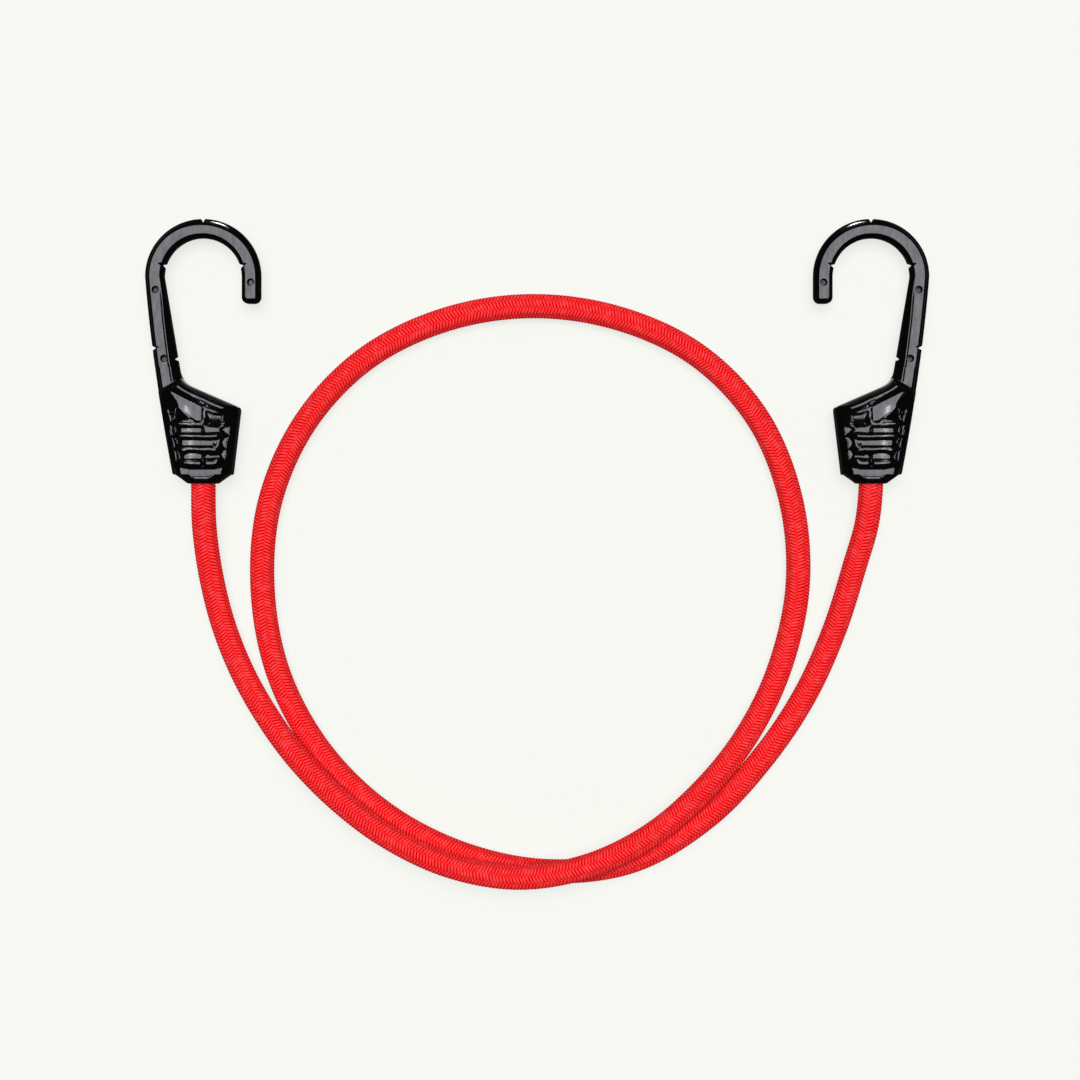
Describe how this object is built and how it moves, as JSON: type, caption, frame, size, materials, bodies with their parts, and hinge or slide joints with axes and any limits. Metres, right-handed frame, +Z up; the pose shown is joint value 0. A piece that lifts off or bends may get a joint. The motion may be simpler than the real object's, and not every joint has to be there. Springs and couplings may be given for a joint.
{
  "type": "bungee cord",
  "caption": "Braided elastic cord laid in one loop, with a moulded open hook swivelling on each end.",
  "frame": {"origin": "on the surface that the cord lies on, midway between the two hooks and at half their length", "axes": "+X from the left hook to the right one, +Y along both hooks towards their crowns, +Z up from the surface"},
  "size_m": [0.2492, 0.2122, 0.0166],
  "materials": {
    "moulding": "glossy black nylon",
    "core": "rolled strip",
    "sleeve": "drawn and crimped",
    "cover": "braided synthetic yarn",
    "thread": "cut latex"
  },
  "bodies": {
    "cord": {"cord_cover": "cover", "rubber_thread_01": "thread", "rubber_thread_02": "thread", "rubber_thread_03": "thread", "rubber_thread_04": "thread", "rubber_thread_05": "thread", "rubber_thread_06": "thread", "rubber_thread_07": "thread", "rubber_thread_08": "thread", "rubber_thread_09": "thread", "rubber_thread_10": "thread", "rubber_thread_11": "thread", "rubber_thread_12": "thread", "left_crimp_sleeve": "sleeve", "right_crimp_sleeve": "sleeve"},
    "left_hook": {"left_hook_moulding": "moulding", "left_steel_core": "core"},
    "right_hook": {"right_hook_moulding": "moulding", "right_steel_core": "core"}
  },
  "joints": [
    {"name": "left_hook_swivel", "type": "hinge", "parent": "cord", "child": "left_hook", "pos_m": [-0.1061, -0.04205, 0.0075], "axis": [0, 1, 0], "continuous": true},
    {"name": "right_hook_swivel", "type": "hinge", "parent": "cord", "child": "right_hook", "pos_m": [0.1061, -0.04205, 0.0075], "axis": [0, 1, 0], "continuous": true}
  ]
}
